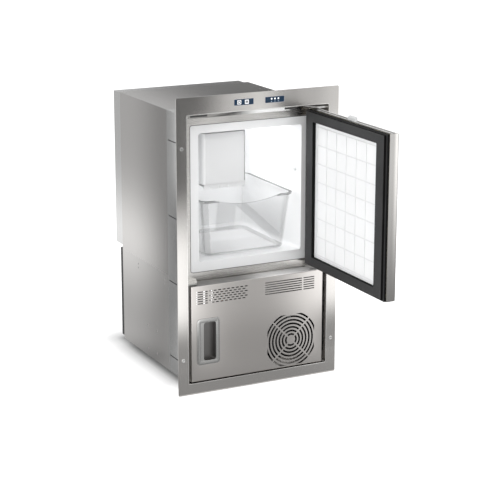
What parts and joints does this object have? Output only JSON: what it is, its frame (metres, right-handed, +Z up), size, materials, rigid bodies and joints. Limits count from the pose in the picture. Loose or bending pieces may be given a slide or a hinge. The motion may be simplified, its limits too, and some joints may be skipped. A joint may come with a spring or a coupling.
{
  "type": "built-in ice maker",
  "caption": "Built-in ice maker with a steel mounting flange, an insulated door over a clear ice bin and ice mould, and a louvred service panel over its cooling unit.",
  "frame": {"origin": "on the rear face of the mounting flange, middle of its width, level with the underside of the base", "axes": "+X to the right of someone facing the door, +Y to the rear, +Z up"},
  "size_m": [0.454, 0.8497, 0.764],
  "materials": {
    "flange_steel": "satin",
    "casing_steel": "satin",
    "plated_steel": "satin",
    "white_liner": "satin",
    "white_moulding": "matte",
    "seal_rubber": "matte",
    "clear_plastic": "gloss",
    "navy_window": "gloss",
    "white_keys": "gloss",
    "black_plastic": "matte",
    "grey_plastic": "matte",
    "tube_plastic": "satin",
    "circuit_board": "satin",
    "bare_aluminium": "satin",
    "copper": "satin",
    "black_paint": "satin",
    "mount_rubber": "matte",
    "spring_wire": "satin",
    "foam": "matte"
  },
  "bodies": {
    "cabinet": {"front_frame": "flange_steel", "face_frame": "flange_steel", "front_collar": "casing_steel", "upper_casing": "casing_steel", "left_side_panel": "casing_steel", "right_side_panel": "casing_steel", "base_pan": "casing_steel", "compartment_floor": "casing_steel", "rear_panel": "casing_steel", "rear_cover": "casing_steel", "rear_grille": "black_plastic", "cable_gland": "black_plastic", "insulation": "foam", "inner_liner": "white_liner", "upper_hinge_bracket": "plated_steel", "lower_hinge_bracket": "plated_steel", "spare_hinge_bracket": "plated_steel", "hinge_pins": "plated_steel", "button_window": "navy_window", "indicator_window": "navy_window", "indicator_lenses": "white_keys", "control_box": "black_plastic", "control_board": "circuit_board", "unit_cover": "white_liner", "drive_housing": "grey_plastic", "ice_mould": "bare_aluminium", "stripper": "white_moulding", "drip_guard": "white_moulding", "fill_cup": "white_moulding", "unit_hanger": "plated_steel", "temperature_sensor": "white_moulding", "condenser": "bare_aluminium", "fan_shroud": "black_plastic", "fan_motor": "bare_aluminium", "compressor": "black_paint", "compressor_mounts": "mount_rubber", "copper_lines": "copper", "filter_drier": "copper", "evaporator": "bare_aluminium", "power_module": "grey_plastic", "water_valve": "grey_plastic", "fill_tube": "tube_plastic"},
    "door": {"door_skin": "flange_steel", "door_foam": "foam", "door_inner_panel": "white_liner", "door_seal": "seal_rubber", "door_bushes": "grey_plastic", "door_pull": "flange_steel", "catch_socket": "white_moulding"},
    "latch": {"travel_catch": "white_moulding"},
    "service_door": {"service_panel": "flange_steel", "panel_pull": "flange_steel", "panel_bushes": "grey_plastic"},
    "bin": {"ice_bin": "clear_plastic"},
    "fan": {"fan_rotor": "black_plastic"},
    "rake": {"ejector": "white_moulding"},
    "feeler": {"shutoff_arm": "spring_wire"},
    "key_power": {"power_button": "white_keys"},
    "key_ice": {"ice_button": "white_keys"}
  },
  "joints": [
    {"name": "door_hinge", "type": "hinge", "parent": "cabinet", "child": "door", "pos_m": [0.178, 0.011, 0.477], "axis": [0, 0, 1], "range_deg": [-90, 25]},
    {"name": "catch_slide", "type": "slide", "parent": "door", "child": "latch", "axis": [0, 0, 1], "range_m": [0, 0.005]},
    {"name": "panel_hinge", "type": "hinge", "parent": "cabinet", "child": "service_door", "pos_m": [0.178, 0.011, 0.134], "axis": [0, 0, 1], "range_deg": [0, 110]},
    {"name": "bin_slide", "type": "slide", "parent": "cabinet", "child": "bin", "axis": [0, -1, 0], "range_m": [0, 0.28]},
    {"name": "fan_spin", "type": "hinge", "parent": "cabinet", "child": "fan", "pos_m": [0.096, 0.062, 0.081], "axis": [0, 1, 0], "continuous": true},
    {"name": "ejector_turn", "type": "hinge", "parent": "cabinet", "child": "rake", "pos_m": [-0.062, 0.22, 0.575], "axis": [0, 1, 0], "continuous": true},
    {"name": "arm_swing", "type": "hinge", "parent": "cabinet", "child": "feeler", "pos_m": [-0.008, 0.12, 0.56], "axis": [0, -1, 0], "range_deg": [0, 40]},
    {"name": "power_press", "type": "slide", "parent": "cabinet", "child": "key_power", "axis": [0, 1, 0], "range_m": [0, 0.0008], "stiffness_N_per_m": 300},
    {"name": "ice_press", "type": "slide", "parent": "cabinet", "child": "key_ice", "axis": [0, 1, 0], "range_m": [0, 0.0008], "stiffness_N_per_m": 300}
  ]
}
